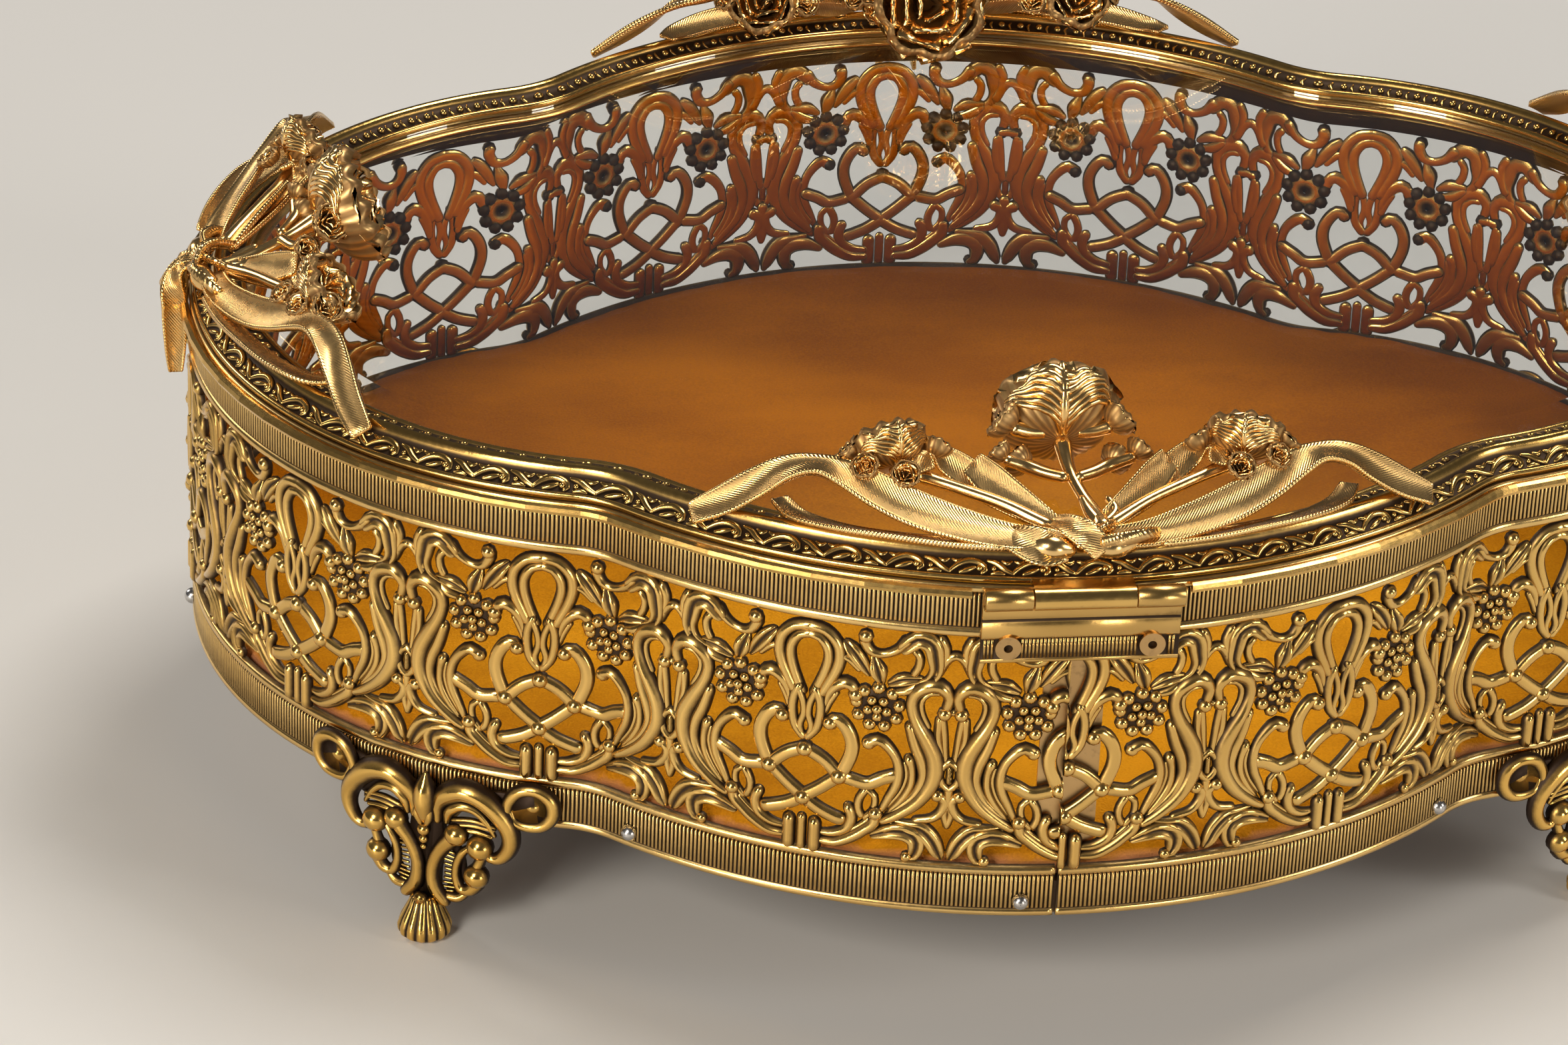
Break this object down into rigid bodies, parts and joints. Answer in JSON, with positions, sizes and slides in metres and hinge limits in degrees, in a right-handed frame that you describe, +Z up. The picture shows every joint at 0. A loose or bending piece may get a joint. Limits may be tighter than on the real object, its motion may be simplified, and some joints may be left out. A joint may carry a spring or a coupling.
{
  "type": "vanity jewelry casket",
  "caption": "Lobed oval vanity casket with a pierced filigree wall, cast feet and a hinged lid of bevelled glass with bow and rose ornaments.",
  "frame": {"origin": "middle of the footprint, on the surface the feet stand on", "axes": "+X along the length, -Y towards the hinge, +Y towards the opening side, +Z up"},
  "size_m": [0.2542, 0.1999, 0.1004],
  "materials": {
    "gilt": "antiqued gold plate, dark in the recesses",
    "cast_gilt": "satin pale gold plate",
    "foot_gilt": "antiqued yellow gold plate",
    "old_gilt": "dull worn gold plate",
    "nail": "worn plated steel",
    "board": "bare board",
    "felt": "matt felt",
    "velvet": "short-pile velvet",
    "glass": "polished, bevelled"
  },
  "bodies": {
    "case": {"gallery_strip": "gilt", "seam_splice": "old_gilt", "rim_wire": "gilt", "base_board": "board", "underside_felt": "felt", "lining_pad": "velvet", "band_nails": "nail", "foot_back_left": "foot_gilt", "foot_back_right": "foot_gilt", "foot_front_left": "foot_gilt", "foot_front_right": "foot_gilt", "foot_screws": "nail", "hinge_case_leaf": "gilt", "hinge_case_eyelets": "old_gilt", "hinge_pin": "old_gilt"},
    "lid": {"lid_frame": "gilt", "lid_glass": "glass", "glass_retainer": "old_gilt", "hinge_lid_leaf": "old_gilt", "hinge_lid_rivets": "old_gilt", "ornament_rivets": "old_gilt", "ribbon_back": "cast_gilt", "ribbon_front": "cast_gilt", "ribbon_left": "cast_gilt", "ribbon_right": "cast_gilt", "rose_back": "cast_gilt", "rose_front": "cast_gilt", "rose_left": "cast_gilt", "rose_right": "cast_gilt", "side_roses_back": "cast_gilt", "side_roses_front": "cast_gilt", "side_roses_left": "cast_gilt", "side_roses_right": "cast_gilt"}
  },
  "joints": [
    {"name": "lid_hinge", "type": "hinge", "parent": "case", "child": "lid", "pos_m": [0, -0.0985, 0.0774], "axis": [1, 0, 0], "range_deg": [0, 100]}
  ]
}
